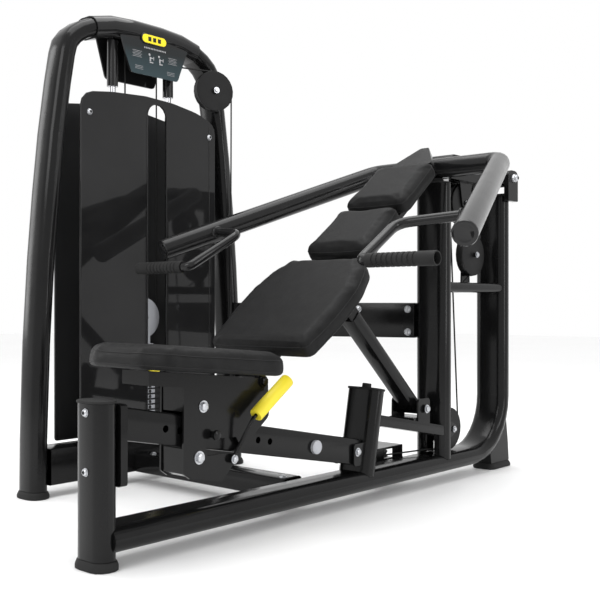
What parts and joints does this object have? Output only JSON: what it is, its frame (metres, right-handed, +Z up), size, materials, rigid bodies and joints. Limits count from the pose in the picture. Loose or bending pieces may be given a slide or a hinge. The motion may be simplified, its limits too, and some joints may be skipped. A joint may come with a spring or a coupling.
{
  "type": "chest press machine",
  "caption": "Selectorised chest press: sliding, tilting bench on a sloping rail, overhead-pivoted press arm with handles, cable run and an arched plate-stack tower.",
  "frame": {"origin": "on the floor under the centre of the front post's foot", "axes": "+X to the user's left, +Y backward along the bench, +Z up"},
  "size_m": [1.4642, 1.892, 1.568],
  "materials": {
    "paint": "powder coat, satin",
    "gloss": "gloss powder coat",
    "plastic": "smooth moulded",
    "rubber": "matte",
    "leather": "fine grained upholstery vinyl",
    "steel": "zinc plated",
    "stack": "satin black steel plate",
    "chrome": "polished",
    "grey": "moulded nylon",
    "yellow": "moulded",
    "teal": "printed plate"
  },
  "bodies": {
    "frame": {"front_post": "paint", "spine_tube": "paint", "rear_post": "paint", "pivot_bracket": "paint", "upper_shelf": "paint", "lower_shelf": "paint", "rail_post": "paint", "seat_rail": "paint", "floor_pulley_housing": "paint", "floor_cross_tube": "paint", "upper_cross_beam": "paint", "tower_base_tube": "paint", "tower_upright_front": "paint", "tower_upright_rear": "paint", "tower_top_cover": "plastic", "shroud_front": "plastic", "shroud_rear": "plastic", "shelf_pulley": "plastic", "front_foot": "rubber", "front_post_cap": "rubber", "rear_foot": "rubber", "arm_stop": "rubber", "rail_post_cap": "rubber", "tower_foot_front": "rubber", "tower_foot_rear": "rubber", "run_cable": "rubber", "riser_cable": "rubber", "anchored_cable": "rubber", "stack_cable": "rubber", "pivot_shaft": "steel", "resting_plates": "stack", "guide_rod_front": "chrome", "guide_rod_rear": "chrome", "rail_bumper": "grey", "sign_plate": "teal"},
    "press": {"press_arm": "gloss", "press_stem": "paint", "handle_left": "gloss", "handle_right": "gloss", "grip_left": "rubber", "grip_right": "rubber"},
    "arm_wheel": {"arm_pulley": "plastic"},
    "stack": {"lifted_plates": "stack", "stack_head": "grey"},
    "head_wheel": {"head_pulley": "grey"},
    "pin": {"selector_pin": "yellow"},
    "top_wheel": {"top_pulley": "plastic"},
    "tower_low_wheel": {"tower_floor_pulley": "plastic"},
    "flat_wheel": {"floor_pulley": "plastic"},
    "post_wheel": {"lower_pulley": "plastic"},
    "carriage": {"seat_carriage": "paint", "seat_pad": "leather"},
    "lever": {"adjust_lever": "paint", "lever_grip": "yellow"},
    "stop_pin": {"pop_pin": "paint"},
    "backrest": {"backrest_frame": "paint", "back_pad_lower": "leather", "back_pad_middle": "leather", "head_pad": "leather"},
    "strut": {"backrest_strut": "paint"}
  },
  "joints": [
    {"name": "press_swing", "type": "hinge", "parent": "frame", "child": "press", "pos_m": [0, 1.789, 1.0616], "axis": [-1, 0, 0], "range_deg": [0, 45], "deforming": ["riser_cable", "anchored_cable"]},
    {"name": "arm_wheel_spin", "type": "hinge", "parent": "press", "child": "arm_wheel", "pos_m": [0, 1.563, 0.956], "axis": [1, 0, 0], "range_deg": [-150, 0]},
    {"name": "stack_lift", "type": "slide", "parent": "frame", "child": "stack", "axis": [0, 0, 1], "range_m": [0, 0.2], "deforming": ["stack_cable"]},
    {"name": "head_wheel_spin", "type": "hinge", "parent": "stack", "child": "head_wheel", "pos_m": [-0.79, 0.77, 0.5554], "axis": [1, 0, 0], "range_deg": [0, 200]},
    {"name": "pin_pull", "type": "slide", "parent": "stack", "child": "pin", "axis": [1, 0, 0], "range_m": [0, 0.05]},
    {"name": "top_wheel_spin", "type": "hinge", "parent": "frame", "child": "top_wheel", "pos_m": [-0.716, 1.044, 1.3722], "axis": [0.9487, -0.3162, 0], "range_deg": [-340, 0]},
    {"name": "tower_low_wheel_spin", "type": "hinge", "parent": "frame", "child": "tower_low_wheel", "pos_m": [-0.638, 1.1122, 0.1833], "axis": [-0.0941, 0.9956, 0], "range_deg": [-430, 0]},
    {"name": "flat_wheel_spin", "type": "hinge", "parent": "frame", "child": "flat_wheel", "pos_m": [-0.13, 1.215, 0.103], "axis": [0, 0, 1], "range_deg": [0, 440]},
    {"name": "post_wheel_spin", "type": "hinge", "parent": "frame", "child": "post_wheel", "pos_m": [0, 1.4755, 0.172], "axis": [1, 0, 0], "range_deg": [0, 340]},
    {"name": "seat_slide", "type": "slide", "parent": "frame", "child": "carriage", "axis": [0, 0.9816, -0.1908], "range_m": [0, 0.2343]},
    {"name": "backrest_tilt", "type": "hinge", "parent": "carriage", "child": "backrest", "pos_m": [0, 0.5, 0.4], "axis": [1, 0, 0], "range_deg": [0, 24.9]},
    {"name": "strut_swing", "type": "hinge", "parent": "frame", "child": "strut", "pos_m": [0, 1.262, 0.262], "axis": [1, 0, 0], "range_deg": [-16, 0]},
    {"name": "lever_pull", "type": "hinge", "parent": "carriage", "child": "lever", "pos_m": [0, 0.388, 0.2075], "axis": [1, 0, 0], "range_deg": [-12, 0]},
    {"name": "stop_pin_pull", "type": "slide", "parent": "carriage", "child": "stop_pin", "axis": [1, 0, 0], "range_m": [-0.013, 0]}
  ],
  "couplings": [
    {"joint": "arm_wheel_spin", "follows": "press_swing", "ratio": -2.48},
    {"joint": "stack_lift", "follows": "press_swing", "m_per_rad": 0.243},
    {"joint": "head_wheel_spin", "follows": "press_swing", "ratio": 3.532},
    {"joint": "top_wheel_spin", "follows": "press_swing", "ratio": -6.816},
    {"joint": "tower_low_wheel_spin", "follows": "press_swing", "ratio": -8.757},
    {"joint": "flat_wheel_spin", "follows": "press_swing", "ratio": 9.033},
    {"joint": "post_wheel_spin", "follows": "press_swing", "ratio": 6.769},
    {"joint": "backrest_tilt", "follows": "seat_slide", "rad_per_m": 1.815},
    {"joint": "strut_swing", "follows": "seat_slide", "rad_per_m": -1.155},
    {"joint": "stop_pin_pull", "follows": "lever_pull", "m_per_rad": 0.062}
  ]
}
